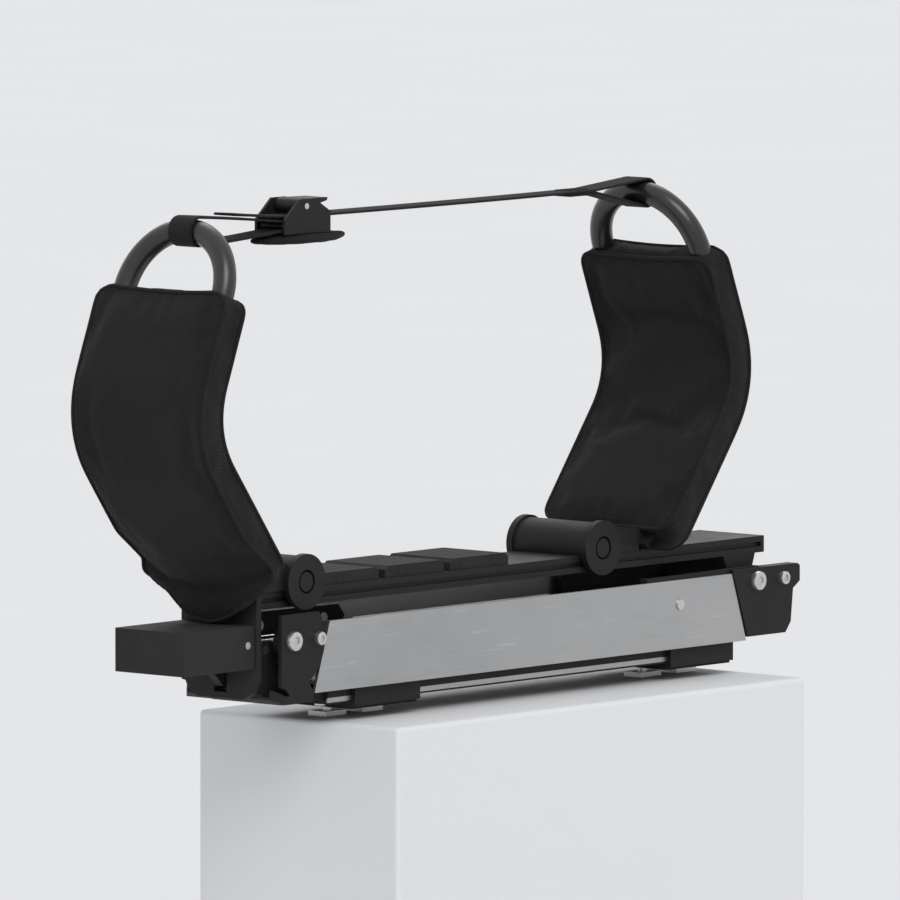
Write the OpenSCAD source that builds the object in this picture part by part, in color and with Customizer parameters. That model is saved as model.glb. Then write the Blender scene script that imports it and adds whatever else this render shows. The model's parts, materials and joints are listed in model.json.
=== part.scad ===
/* [Crossbar feet] */
// Distance between the middles of the two feet
foot_span = 404; // [330:1:440]
// Length of each foot along the crossbar
foot_l = 82; // [70:1:100]
// Thickness of the rubber seat under each foot
seat_t = 2.5; // [1.5:0.5:4]
// Thickness of the foot's floor
foot_floor_t = 3.5; // [2.5:0.5:6]
// Thickness of the foot's flanks outside the rail
foot_flank_t = 4; // [2.5:0.5:6]
// Diameter of the T-bolts in the crossbar's slot
tbolt_d = 8; // [6:1:10]
// Distance between the two T-bolts of one foot
tbolt_pitch = 46; // [40:1:47]
// Width of a T-bolt's head, which runs in the slot
thead_w = 19; // [16:1:24]
// Length of a T-bolt's head along the slot
thead_l = 26; // [18:1:34]
// Thickness of a T-bolt's head
thead_t = 4; // [3:0.5:6]
// Thickness of the crossbar's slot lips over the heads
slot_lip_t = 5; // [3:0.5:8]

/* [Rail] */
// Width of the base rail
rail_w = 84; // [74:1:96]
// Height of the base rail
rail_h = 18; // [16:1:24]
// Wall of the base rail
rail_wall = 3.5; // [2.5:0.5:5]
// Rail beyond the middle of the outboard foot
rail_nose = 70; // [60:1:80]
// Rail beyond the middle of the inboard foot
rail_tail = 32; // [32:1:48]
// Height of the aluminium trim in the rail's flank
trim_h = 4; // [3:0.5:6]
// Depth of the trim's groove
trim_t = 1.5; // [1:0.25:2]

/* [Lift arm] */
// Distance between the two pivots of the lift arm
arm_reach = 594; // [540:1:640]
// Height of the inboard pivot above the outboard one when stowed
arm_rise = 5; // [3:1:8]
// Width over the arm's silver channel
arm_w = 108; // [104:1:116]
// Height of the channel's sides
channel_h = 58; // [54:1:62]
// Sheet thickness of the channel
channel_t = 3; // [2:0.5:3.5]
// Gap between the rail and the channel's floor
arm_gap = 2; // [1.5:0.5:4]
// Distance by which the channel's sides hang below its floor, past the rail's top
skirt = 7; // [5:0.5:9]
// Height of the outboard pivot above the channel's lower edge
pivot_up = 45; // [44:0.5:47]
// Outboard pivot beyond the middle of the outboard foot
pivot_overhang = 128; // [122:1:134]
// Gap from the outboard pivot to the channel's lower corner
root_gap = 28; // [28:0.5:32]
// Gap from the inboard pivot to the channel's lower corner
tip_gap = 13; // [12:0.5:15]
// Slant of the channel's ends, bottom to top
end_slant = 19; // [17:1:22]
// Diameter of the lift and cradle pivot pins
pivot_d = 12; // [10:0.5:14]
// Radius of the eyes round the pivot pins
eye_r = 13; // [12.5:0.5:14]

/* [Level linkage] */
// Control pivot to the right of the lift pivot
link_dx = 6; // [4:0.5:8]
// Control pivot below the lift pivot
link_dz = 17; // [16:0.5:18]
// Diameter of the control pins
link_pin_d = 8; // [6:0.5:9]
// Half height of a control link
link_r = 7; // [6:0.5:7.5]
// Thickness of a control link
link_t = 5.5; // [4:0.5:6]

/* [Gas struts] */
// Diameter of a strut's cylinder
strut_d = 22; // [18:1:24]
// Diameter of a strut's rod
rod_d = 9; // [8:0.5:11]
// Length of a strut's cylinder
strut_l = 250; // [220:1:280]
// Distance between the pins of a strut when stowed
strut_span = 432; // [410:1:450]
// Distance of each strut from the middle
strut_y = 17.5; // [16:0.5:18]

/* [Cradle] */
// Width of the cradle's beam
beam_w = 72; // [66:1:72]
// Height of the cradle's beam
beam_h = 14; // [12:1:16]
// Gap between the beam and the inboard pivot's eye
beam_gap = 8; // [6:0.5:9]
// Width of the hull's space between the arms at their feet
hull_w = 474; // [400:1:500]
// Height of the arms' knees above the foot of the core
knee_rise = 136; // [120:1:160]
// Distance by which each arm leans outward to its knee
knee_lean = 101; // [90:1:110]
// Height of the arms' tops above the knees
tip_rise = 111; // [95:1:125]
// Distance by which each arm leans back inward to its top
tip_lean = 43; // [30:1:50]
// Width of the padded arms
pad_w = 144; // [134:1:150]
// Thickness of the pads
pad_t = 30; // [26:1:36]
// Thickness of the plate inside each pad
core_t = 8; // [6:0.5:9]
// Distance from each side of a pad to the outer side of its loop
loop_inset = 9; // [7:0.5:17]
// Diameter of the loop's tube
loop_d = 19; // [14:1:20]
// Height of the loop above the pad
loop_up = 62; // [60:1:70]
// Radius of the foot's round ear
ear_r = 21; // [18:0.5:22]
// Thickness of the saddle pads
saddle_t = 10; // [6:1:14]

/* [Handle and release] */
// Width of the riser that joins the handle to the beam
riser_w = 80; // [74:1:90]
// Length of the lift handle
handle_l = 86; // [75:1:95]
// Width of the lift handle
handle_w = 76; // [70:1:84]
// Height of the lift handle
handle_h = 36; // [32:1:40]
// Wall of the lift handle
handle_wall = 4; // [3:0.5:5]

/* [Strap] */
// Width of the webbing
web_w = 25; // [20:1:28]
// Thickness of the webbing
web_t = 2.2; // [1.6:0.1:3]
// Distance from the outboard loop to the buckle
buckle_run = 130; // [120:1:170]
// Length of the buckle's frame
buckle_l = 52; // [46:1:60]
// Length of the pad under the buckle
buckle_pad_l = 112; // [90:1:130]
// Width of the pad under the buckle
buckle_pad_w = 46; // [38:1:60]
// Thickness of the pad under the buckle
buckle_pad_t = 9.5; // [4:0.5:12]

/* [Hidden] */
$fn = 48;
fit = 0.05;
gap = 0.5;
seam = 0.2;
// Longer than any cut through the part
far = 700;

black = [0.07, 0.07, 0.08];
charcoal = [0.13, 0.13, 0.14];
silver = [0.66, 0.67, 0.69];
steel = [0.74, 0.75, 0.77];

// Base heights and ends
rail_z0 = seat_t + foot_floor_t;
rail_z1 = rail_z0 + rail_h;
rail_floor = rail_z0 + rail_wall;
rail_x0 = -foot_span / 2 - rail_nose;
rail_x1 = foot_span / 2 + rail_tail;
rail_in = rail_w / 2 - rail_wall;
trim_z0 = rail_z0 + 1.5;
foot_side = rail_w / 2 + 0.3;

// Pivots, as points in the side view [x, z]
floor_z = rail_z1 + arm_gap;
channel_z = floor_z - skirt;
p_lift = [-foot_span / 2 - pivot_overhang, channel_z + pivot_up];
p_tip = p_lift + [arm_reach, arm_rise];
p_link = p_lift + [link_dx, -link_dz];
p_level = p_tip + [link_dx, -link_dz];
arm_tilt = atan2(arm_rise, arm_reach);

// Layers from the outside in, as distances from the middle plane
side_out = arm_w / 2;
side_in = side_out - channel_t;
bar_t = 6;
bar_in = side_in - bar_t;
link_out = bar_in - 2.5;
link_in = link_out - link_t;
rib_out = link_in - 1;
rib_in = rib_out - 6;
cheek_in = side_in + gap;
cheek_out = cheek_in + 3.5;

// Channel corners
ch_x0 = p_lift[0] + root_gap;
ch_x1 = p_tip[0] - tip_gap;
ch_top = channel_z + channel_h;
// The channel's floor ends early, so that the cradle's beam passes it
ch_floor_x1 = ch_x1 - 20;
// Radius that stays clear of the swinging channel round each pivot
root_dir = [end_slant, channel_h] / norm([end_slant, channel_h]);
root_clear = root_gap * root_dir[1] + pivot_up * root_dir[0] - 0.8;

// Housing
hous_x0 = p_lift[0] - 20;
hous_z0 = rail_z0 + 6;
// The cheeks start further in than the floor
cheek_x0 = hous_x0 + 6;
hous_top = p_lift[1] + 22;
wall_top = p_lift[1] - 24;
wall_t = 4;
tongue_x1 = rail_x0 + 32;
tongue_z1 = rail_floor + 9;
floor_x1 = ch_x0 - 3;
stop_x = p_lift[0] + 32;
corner = 12;

// Struts lie level when stowed
strut_z = p_lift[1] - 8;
stud_x = p_lift[0] - 12;
strut_x = stud_x + strut_span;
strut_eye_t = 8;
strut_eye_r = 8;
strut_pin_d = 8;
cyl_x0 = strut_x - 14 - strut_l;

// Cradle
beam_z0 = p_tip[1] + eye_r + beam_gap;
beam_z1 = beam_z0 + beam_h;
beam_x0 = hous_x0 - 2;
beam_x1 = p_tip[0] + 32;
// Foot of the outboard arm's core, in the middle of the plate
core_x = beam_x0 - 4.1;
core_z = beam_z1 + 2.7;
mid_x = core_x + 7 + hull_w / 2;
core_half_w = pad_w / 2 - 8;
foot_half_w = beam_w / 2 + 2;
pad_start = 12;
core_taper = 26;
arm_bolt_s = 7.6;
arm_bolt_d = 6;
arm_bolt_head = 9;
// Half the distance in Y between the two tongue screws, and between an arm's two bolts
screw_y = 20;
// A flap on the pad's outer side covers the bolts, and outboard it hangs over the beam's end
flap_drop = 24;
flap_sag = 31;
flap_x = beam_x0 - 8;
pad_taper = 6;
ear = [core_x + 56, beam_z1 + 6];
disc_r = ear_r + 2;
disc_t = 6;

knee = [core_x - knee_lean, core_z + knee_rise];
tip = [knee[0] + tip_lean, knee[1] + tip_rise];
low_dir = (knee - [core_x, core_z]) / norm(knee - [core_x, core_z]);
top_dir = (tip - knee) / norm(tip - knee);
low_n = [low_dir[1], -low_dir[0]];
top_n = [top_dir[1], -top_dir[0]];
bend = 45;
loop_r = pad_w / 2 - loop_inset - loop_d / 2;
leg_in = 46;
leg_up = loop_up - loop_r - loop_d / 2;
crown = tip + top_dir * (leg_up + loop_r);
crown_in = [2 * mid_x - crown[0], crown[1]];

// Handle and release
grip_x0 = beam_x0 - 6 - handle_l;
grip_z1 = p_lift[1] + 14;
grip_z0 = grip_z1 - handle_h;
p_rel = [beam_x0 - 14, p_lift[1] - 2];
lever_half_y = 22;
window_half_y = 7;
window_z0 = hous_z0 + 11;
window_z1 = wall_top - 5;

// Strap
band_r = loop_d / 2 + 1.1;
band_c = crown - [0, 0.75];
buckle_x = band_c[0] + buckle_run;
web_z = band_c[1] + 5.5;
bar_c = [buckle_x - buckle_l / 2, web_z - 7];
bar_r = 2.5;
cam_c = [buckle_x - 4, web_z + 8.6];
buckle_z0 = web_z - 13.8;

// Points of a quarter-like bend between two straight runs
function bezier(a, b, c, t) = (1 - t) * (1 - t) * a + 2 * t * (1 - t) * b + t * t * c;
function unit(v) = v / norm(v);
// Middle line of the outboard arm from its foot, from s0 along the lower run to s1 short of the top
function arm_path(s0, s1) = concat(
  [[core_x, core_z] + low_dir * s0],
  [for (i = [0:8]) bezier(knee - low_dir * bend, knee, knee + top_dir * bend, i / 8)],
  [tip - top_dir * s1]);
// Sides of a band of half thickness h about a path, from its outer side round to its inner side
function path_n(p, i) = let (a = p[max(i - 1, 0)], b = p[min(i + 1, len(p) - 1)], d = unit(b - a))
  [d[1], -d[0]];
function band(p, h) = concat(
  [for (i = [0:len(p) - 1]) p[i] + path_n(p, i) * h],
  [for (i = [len(p) - 1:-1:0]) p[i] - path_n(p, i) * h]);

// A flat piece drawn in the side view, from y0 to y1
module slab(pts, y0, y1) translate([0, y1, 0]) rotate([90, 0, 0]) linear_extrude(y1 - y0) polygon(pts);
// A round piece along Y at a side view point
module pin(p, r, y0, y1) translate([p[0], y0, p[1]]) rotate([-90, 0, 0]) cylinder(h = y1 - y0, r = r);
module pipe(p, r, bore, y0, y1) difference() {
  pin(p, r, y0, y1);
  pin(p, bore, y0 - 1, y1 + 1);
}
module block(x0, x1, y0, y1, z0, z1) translate([x0, y0, z0]) cube([x1 - x0, y1 - y0, z1 - z0]);
module both_sides() for (s = [0, 1]) mirror([0, s, 0]) children();
module to_inboard() translate([2 * mid_x, 0, 0]) mirror([1, 0, 0]) children();
module at_feet() for (s = [-1, 1]) translate([s * foot_span / 2, 0, 0]) children();
module at_tbolts() at_feet() for (s = [-1, 1]) translate([s * tbolt_pitch / 2, 0, 0]) children();

// Base
module seat_pads() color(charcoal) at_feet() difference() {
  block(-foot_l / 2, foot_l / 2, -foot_side, foot_side, 0, seat_t);
  for (s = [-1, 1]) translate([s * tbolt_pitch / 2, 0, -1]) cylinder(h = seat_t + 2, d = tbolt_d + 1);
}

module foot(side) color(black) translate([side * foot_span / 2, 0, 0]) difference() {
  union() {
    block(-foot_l / 2, foot_l / 2, -foot_side - foot_flank_t, foot_side + foot_flank_t, seat_t, rail_z0);
    both_sides() slab([[-foot_l / 2, rail_z0 - 1], [foot_l / 2, rail_z0 - 1], [foot_l / 2, rail_z1 - 6],
      [foot_l / 2 - 5, rail_z1 - 1], [-foot_l / 2 + 5, rail_z1 - 1], [-foot_l / 2, rail_z1 - 6]],
      foot_side, foot_side + foot_flank_t);
  }
  for (s = [-1, 1]) translate([s * tbolt_pitch / 2, 0, 0]) cylinder(h = rail_z1, d = tbolt_d + 0.6);
}
module foot_outboard() foot(-1);
module foot_inboard() foot(1);

module t_bolts() color(steel) at_tbolts() {
  translate([-thead_l / 2, -thead_w / 2, -slot_lip_t - thead_t]) cube([thead_l, thead_w, thead_t]);
  translate([0, 0, -slot_lip_t - 1]) cylinder(h = slot_lip_t + rail_floor + 11, d = tbolt_d);
}

module t_bolt_nuts() color(steel) at_tbolts() difference() {
  union() {
    translate([0, 0, rail_floor]) cylinder(h = 1.6, d = tbolt_d * 2.1);
    translate([0, 0, rail_floor + 1.5]) cylinder(h = 6.4, d = tbolt_d * 1.85, $fn = 6);
  }
  translate([0, 0, rail_floor - 1]) cylinder(h = 12, d = tbolt_d + 2 * fit);
}

module base_rail() color(black) difference() {
  block(rail_x0, rail_x1, -rail_w / 2, rail_w / 2, rail_z0, rail_z1);
  block(rail_x0 - 1, rail_x1 + 1, -rail_in, rail_in, rail_floor, rail_z1 + 1);
  both_sides() block(rail_x0 - 1, rail_x1 + 1, rail_w / 2 - trim_t, rail_w,
    trim_z0, trim_z0 + trim_h);
  at_tbolts() cylinder(h = rail_z1, d = tbolt_d + 0.6);
  tongue_holes(3.2);
}

module rail_trims() color(silver) both_sides() block(rail_x0, rail_x1, rail_w / 2 - trim_t, rail_w / 2,
  trim_z0, trim_z0 + trim_h);

module rail_end_cap() color(black) {
  block(rail_x1, rail_x1 + 4, -rail_w / 2, rail_w / 2, rail_z0, rail_z1);
  // Two lugs that leave room for the last nut
  both_sides() block(rail_x1 - 12, rail_x1 + 1, tbolt_d * 1.1 + 3, rail_in - seam,
    rail_floor + seam, rail_z1 - 3);
}

module at_tongue_screws() for (s = [-1, 1]) translate([tongue_x1 - 16, s * screw_y, 0]) children();
module tongue_holes(r) at_tongue_screws() translate([0, 0, rail_z0 - 1]) cylinder(h = tongue_z1, r = r);

module outboard_housing() color(black) difference() {
  union() {
    both_sides() {
      // Cheek: all within reach of the clear radius, and below the channel's slanted end
      intersection() {
        pin(p_lift, root_clear, cheek_in, cheek_out);
        block(cheek_x0, p_lift[0] + 60, 0, arm_w, hous_z0, hous_top);
      }
      slab([[cheek_x0, p_lift[1]], [cheek_x0, hous_z0 + 20], [cheek_x0 + 16, hous_z0], [floor_x1, hous_z0],
        [floor_x1 + 1, channel_z], p_lift], cheek_in, cheek_out);
      // Rib that carries the control pin and the strut's stud
      slab([[hous_x0, hous_z0 + 13], [hous_x0 + wall_t, hous_z0 + 4], [floor_x1, hous_z0 + 4],
        [p_lift[0] + 22, p_link[1] + 2], [p_lift[0] + 12, p_link[1] + 12], [stud_x + 4, strut_z + 8],
        [hous_x0, strut_z + 7]], rib_in, rib_out);
    }
    // Floor with a rounded outboard corner
    slab([[hous_x0, hous_z0 + 12], [hous_x0 + 3, hous_z0 + 4], [hous_x0 + 10, hous_z0], [floor_x1, hous_z0],
      [floor_x1, hous_z0 + 7], [hous_x0 + 12, hous_z0 + 7], [hous_x0 + wall_t, hous_z0 + 12]],
      -cheek_out, cheek_out);
    block(hous_x0, hous_x0 + wall_t, -rib_out, rib_out, hous_z0 + 8, wall_top);
    // Tongue that lies on the rail's floor
    block(floor_x1 - 20, tongue_x1, -rail_in + seam, rail_in - seam, rail_floor, tongue_z1);
  }
  // Cut corners of the floor
  both_sides() translate([0, 0, hous_z0 - 1]) linear_extrude(13) polygon([[hous_x0 - 1, cheek_out - corner],
    [hous_x0, cheek_out - corner], [hous_x0 + corner, cheek_out], [hous_x0 + corner, cheek_out + 1],
    [hous_x0 - 1, cheek_out + 1]]);
  // Window for the release hook
  block(hous_x0 - 1, hous_x0 + wall_t + 1, -window_half_y, window_half_y, window_z0, window_z1);
  // Room for the swinging control links
  both_sides() slab([[hous_x0 - 1, hous_z0 + 6], [p_link[0], hous_z0 + 6], [p_link[0], wall_top],
    [hous_x0 - 1, wall_top]], link_in - gap, bar_in);
  both_sides() pin(p_lift, pivot_d / 2, cheek_in - 1, cheek_out + 1);
  both_sides() pin(p_link, link_pin_d / 2, rib_in - 1, rib_out + 1);
  both_sides() pin([stud_x, strut_z], strut_pin_d / 2, rib_in - 1, rib_out + 1);
  both_sides() pin([stop_x, p_lift[1]], 3, cheek_in - 1, cheek_out + 1);
  tongue_holes(2.6);
}

module tongue_screws() color(steel) at_tongue_screws() {
  translate([0, 0, rail_z0 - 3]) cylinder(h = 3, d = 10);
  translate([0, 0, rail_z0 - 1]) cylinder(h = tongue_z1 - rail_z0, r = 2.55);
}

module stop_screws() color(steel) both_sides() {
  pin([stop_x, p_lift[1]], 2.95, cheek_in, cheek_out + 1);
  pin([stop_x, p_lift[1]], 5.5, cheek_out, cheek_out + 3);
}

module lift_pivot_pins() color(steel) both_sides() {
  pin(p_lift, pivot_d / 2, bar_in, cheek_out + 1);
  pin(p_lift, pivot_d / 2 + 2, cheek_out, cheek_out + 3);
}

module control_pins() color(steel) both_sides() pin(p_link, link_pin_d / 2, rib_in, link_out + 0.8);

module strut_studs() color(steel) both_sides() pin([stud_x, strut_z], strut_pin_d / 2,
  strut_y + strut_eye_t / 2 + gap, rib_out);

module striker_plate() color(black) difference() {
  block(hous_x0 - 1, hous_x0, -15, 15, window_z0 - 5, wall_top);
  block(hous_x0 - 2, hous_x0 + 1, -window_half_y + 0.5, window_half_y - 0.5,
    window_z0 + 0.5, window_z1 - 0.5);
}

module rest_buffers() color(charcoal) both_sides() block(foot_span / 2 - 46, foot_span / 2 - 10,
  rail_in + 0.2, rail_w / 2 - 0.2, rail_z1, rail_z1 + arm_gap - 0.3);

// Lift arm
module lift_channel() color(silver) difference() {
  slab([[ch_x0, channel_z], [ch_x1, channel_z], [ch_x1 - end_slant, ch_top], [ch_x0 + end_slant, ch_top]],
    -side_out, side_out);
  block(ch_x0 - 1, ch_x1 + 1, -side_in, side_in, floor_z + channel_t, ch_top + 1);
  block(ch_x0 - 1, ch_x1 + 1, -side_in, side_in, channel_z - 1, floor_z);
  block(ch_floor_x1, ch_x1 + 1, -side_in, side_in, channel_z - 1, ch_top + 1);
  at_rivets() pin([0, 0], 2.5, side_in - 1, side_out + 1);
  at_bar_screws() pin([0, 0], 2.5, side_in - 1, side_out - 1);
}

// Place in the side view at s along the line between the arm's pivots and n above it
function on_arm(s, n) = p_lift
  + [s * cos(arm_tilt) - n * sin(arm_tilt), s * sin(arm_tilt) + n * cos(arm_tilt)];
rivet_at = on_arm(arm_reach - 100, -12);
bar_l = 178;
bar_screw_s = [70, 110, 150];
knuckle_l = 140;
// Length of a knuckle's outer block beyond the inboard pivot, at its foot and at its top
block_low = 38;
block_top = 57;
knuckle_screw = p_tip + [34, 0];
module at_point(p) translate([p[0], 0, p[1]]) children();
module at_rivets() both_sides() at_point(rivet_at) children();
module at_bar_screws() both_sides() for (s = bar_screw_s) at_point(on_arm(s, 0)) children();

module root_bars() color(black) both_sides() difference() {
  union() {
    pin(p_lift, eye_r, bar_in, side_in);
    slab([on_arm(0, -eye_r), on_arm(bar_l - 8, -eye_r), on_arm(bar_l, 0), on_arm(bar_l - 8, eye_r - 3),
      on_arm(0, eye_r)], bar_in, side_in);
  }
  pin(p_lift, pivot_d / 2 + 2, bar_in - 1, side_in + 1);
  for (s = bar_screw_s) pin(on_arm(s, 0), 2.5, bar_in - 1, side_in + 1);
}

module knuckle() difference() {
  union() {
    slab([on_arm(arm_reach - knuckle_l, -eye_r), on_arm(arm_reach - 20, -eye_r - 8),
      [ch_x1 - 2, floor_z + 8], [p_tip[0] + 8, floor_z + 8], [p_tip[0] + 8, p_tip[1] + eye_r - 1],
      on_arm(arm_reach - knuckle_l, eye_r - 1)], bar_in - 1.5, side_in);
    // Block outside the channel's slanted end
    slab([[ch_x1 + 1, channel_z + 3], [p_tip[0] + block_low, channel_z + 3],
      [p_tip[0] + block_low + 7, channel_z + 12], [p_tip[0] + block_low + 10, ch_top - 18],
      [p_tip[0] + block_top, ch_top - 12], [p_tip[0] + block_top, ch_top + 1],
      [p_tip[0] + block_top - 3, ch_top + 3], [ch_x1 - end_slant + 1, ch_top + 3],
      [ch_x1 - end_slant + 1, ch_top]], bar_in - 1.5, side_out + 1);
  }
  pin(p_tip, pivot_d / 2, 0, arm_w);
  pin(knuckle_screw, 3, bar_in - 2, arm_w);
  pin(rivet_at, 2.5, 0, arm_w);
}

module knuckle_rear() color(black) knuckle();
module knuckle_front() color(black) mirror([0, 1, 0]) knuckle();

module channel_rivets() color(steel) at_rivets() {
  pin([0, 0], 2.45, bar_in - 1.5, side_out + 0.5);
  pin([0, 0], 4.5, side_out, side_out + 1.2);
}

module arm_screws() color(steel) at_bar_screws() {
  pin([0, 0], 2.45, bar_in - 1, side_out - 1.2);
  pin([0, 0], 4.5, bar_in - 1.8, bar_in);
}

module pivot_bushes() color(charcoal) both_sides()
  pipe(p_lift, pivot_d / 2 + 2, pivot_d / 2 + fit, bar_in, side_in);

bracket_half = 20;
module strut_bracket() color(black) difference() {
  union() {
    block(strut_x - bracket_half, strut_x + bracket_half, -rib_in - 3, rib_in + 3,
      floor_z + channel_t, floor_z + channel_t + 3);
    both_sides() slab([[strut_x - bracket_half + 2, floor_z + channel_t],
      [strut_x + bracket_half - 2, floor_z + channel_t],
      [strut_x + 9, strut_z + 7], [strut_x - 9, strut_z + 7]], rib_in, rib_in + 3);
  }
  pin([strut_x, strut_z], strut_pin_d / 2, -arm_w, arm_w);
}

module strut_pin() color(steel) pin([strut_x, strut_z], strut_pin_d / 2, -rib_in - 4, rib_in + 4);

module cradle_pin() color(steel) {
  pin(p_tip, pivot_d / 2, -side_out - 2, side_out + 2);
  both_sides() pin(p_tip, pivot_d / 2 + 2, side_out + 1, side_out + 4);
}

module knuckle_screws() color(steel) both_sides() {
  pin(knuckle_screw, 2.95, bar_in - 1, side_out + 2);
  pin(knuckle_screw, 5.5, side_out + 1, side_out + 4);
}

// Control links
module control_link() difference() {
  union() {
    pin(p_link, link_r, link_in, link_out);
    pin(p_level, link_r, link_in, link_out);
    slab([p_link + [0, -link_r], p_level + [0, -link_r], p_level + [0, link_r], p_link + [0, link_r]],
      link_in, link_out);
  }
  pin(p_link, link_pin_d / 2 + fit, 0, arm_w);
  pin(p_level, link_pin_d / 2 + 0.4, 0, arm_w);
}
module control_link_rear() color(black) control_link();
module control_link_front() color(black) mirror([0, 1, 0]) control_link();

// Gas struts
module along_x(x0, x1, r) translate([x0, 0, strut_z]) rotate([0, 90, 0]) cylinder(h = x1 - x0, r = r);

module strut_cylinder(y) color(black) translate([0, y, 0]) difference() {
  union() {
    along_x(cyl_x0, cyl_x0 + strut_l, strut_d / 2);
    along_x(cyl_x0 + strut_l - 1, strut_x, strut_eye_t / 2);
    pin([strut_x, strut_z], strut_eye_r, -strut_eye_t / 2, strut_eye_t / 2);
  }
  pin([strut_x, strut_z], strut_pin_d / 2 + fit, -strut_eye_t, strut_eye_t);
  along_x(cyl_x0 - 1, cyl_x0 + strut_l - 12, rod_d / 2 + fit);
}
module strut_cylinder_front() strut_cylinder(-strut_y);
module strut_cylinder_rear() strut_cylinder(strut_y);

module strut_rod(y) color(steel) translate([0, y, 0]) difference() {
  union() {
    along_x(stud_x, cyl_x0 + strut_l * 0.7, rod_d / 2);
    pin([stud_x, strut_z], strut_eye_r, -strut_eye_t / 2, strut_eye_t / 2);
  }
  pin([stud_x, strut_z], strut_pin_d / 2 + 0.5, -strut_eye_t, strut_eye_t);
}
module strut_rod_front() strut_rod(-strut_y);
module strut_rod_rear() strut_rod(strut_y);

// Cradle
module cradle_hub() color(black) difference() {
  union() {
    slab([p_level + [-link_r - 2, 0], p_level + [link_r + 2, 0], p_tip + [eye_r, 0],
      [p_tip[0] + 20, beam_z0], [p_tip[0] - 22, beam_z0], p_tip + [-eye_r, 0]], -rib_out, rib_out);
    pin(p_tip, eye_r, -rib_out, rib_out);
    pin(p_level, link_r + 2, -rib_out, rib_out);
  }
  pin(p_tip, pivot_d / 2 + 2, -arm_w, arm_w);
  pin(p_level, link_pin_d / 2, -arm_w, arm_w);
}

module cradle_bush() color(charcoal) pipe(p_tip, pivot_d / 2 + 2, pivot_d / 2 + fit, -rib_out, rib_out);
module level_pin() color(steel) pin(p_level, link_pin_d / 2, -link_out - 0.8, link_out + 0.8);

module cradle_beam() color(black) difference() {
  block(beam_x0, beam_x1 - 4, -beam_w / 2, beam_w / 2, beam_z0, beam_z1);
  // Open slots along the top, as on an extruded section
  both_sides() block(beam_x0 - 1, beam_x1, 6, beam_w / 2 - 8, beam_z0 + 3, beam_z1 - 3);
  both_sides() block(beam_x0 - 1, beam_x1, beam_w / 2 - 3, beam_w / 2 + 1, beam_z0 + 5, beam_z1 - 5);
}

module beam_end_cap() color(black) block(beam_x1 - 4, beam_x1, -beam_w / 2, beam_w / 2, beam_z0, beam_z1);

saddle_x0 = ear[0] + ear_r + 6;
saddle_pitch = 82;
saddle_l = 74;
module saddle_pads() color(charcoal) for (i = [0:2]) translate([saddle_x0 + i * saddle_pitch, 0, 0])
  slab([[0, beam_z1], [saddle_l, beam_z1], [saddle_l, beam_z1 + saddle_t - 3],
    [saddle_l - 4, beam_z1 + saddle_t], [4, beam_z1 + saddle_t], [0, beam_z1 + saddle_t - 3]],
    -beam_w / 2 + 2, beam_w / 2 - 2);

core_in = [core_x, core_z] + low_n * core_t / 2;
module arm_foot() difference() {
  union() {
    slab([[ear[0] + 12, beam_z1], [core_in[0], beam_z1], core_in, core_in + low_dir * (pad_start - 1),
      core_in + low_dir * (pad_start - 1) + low_n * 8, [ear[0] - ear_r + 1, beam_z1 + disc_r], ear],
      -foot_half_w, foot_half_w);
    intersection() {
      pin(ear, ear_r, -foot_half_w, foot_half_w);
      block(ear[0] - ear_r - 1, ear[0] + ear_r + 1, -foot_half_w, foot_half_w, beam_z1, ear[1] + ear_r + 1);
    }
  }
  pin(ear, 5.1, -arm_w, arm_w);
  arm_bolt_holes();
}
module arm_foot_outboard() color(black) arm_foot();
module arm_foot_inboard() color(black) to_inboard() arm_foot();

// Places the bolts that hold the core plate to its foot, along the plate's normal
module at_arm_bolts() for (s = [-1, 1])
  translate([core_x + low_dir[0] * arm_bolt_s, s * screw_y, core_z + low_dir[1] * arm_bolt_s])
  rotate([0, atan2(low_n[0], low_n[1]), 0]) children();
module arm_bolt_holes() at_arm_bolts() cylinder(h = ear_r * 2, d = arm_bolt_d + 0.1, center = true);

// Keeps what lies in an outline drawn in the front view
module front_outline(pts) intersection() {
  children();
  rotate([90, 0, 90]) translate([0, 0, -far]) linear_extrude(2 * far) polygon(pts);
}
// An arm's outline: half width w, narrower by taper at its foot, down to the points in low
function arm_outline(w, taper, low) = concat(low, [[w, core_z + taper * 1.5], [w, tip[1] + 20],
  [-w, tip[1] + 20], [-w, core_z + taper * 1.5]]);
function core_low(w) = [[-w + core_taper, core_z - 14], [w - core_taper, core_z - 14]];
// The pad's lower edge sags by sag in the middle
function pad_low(w, z, sag) = [for (i = [-6:6]) [i / 6 * (w - pad_taper), z + sag * pow(i / 6, 2)]];

module arm_core() difference() {
  front_outline(arm_outline(core_half_w, core_taper, core_low(core_half_w)))
    slab(band(arm_path(0, 6), core_t / 2), -core_half_w, core_half_w);
  both_sides() leg_room(12, 60, loop_r - loop_d / 2, pad_w);
  arm_bolt_holes();
}
// Space round a leg of the loop: half thick on each side of the arm's middle plane, to up above the tip
module leg_room(half, up, y0, y1)
  slab([tip - top_dir * leg_in - top_n * half, tip + top_dir * up - top_n * half,
    tip + top_dir * up + top_n * half, tip - top_dir * leg_in + top_n * half], y0, y1);

module arm_core_outboard() color(black) arm_core();
module arm_core_inboard() color(black) to_inboard() arm_core();

module arm_loop() translate([tip[0], 0, tip[1]]) rotate([0, atan2(top_dir[0], top_dir[1]), 0]) {
  for (s = [-1, 1]) translate([0, s * loop_r, -leg_in]) cylinder(h = leg_in + leg_up, d = loop_d);
  translate([0, 0, leg_up]) rotate([90, 0, 90])
    rotate_extrude(angle = 180) translate([loop_r, 0]) circle(d = loop_d);
}
module arm_loop_outboard() color(black) arm_loop();
module arm_loop_inboard() color(black) to_inboard() arm_loop();

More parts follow.
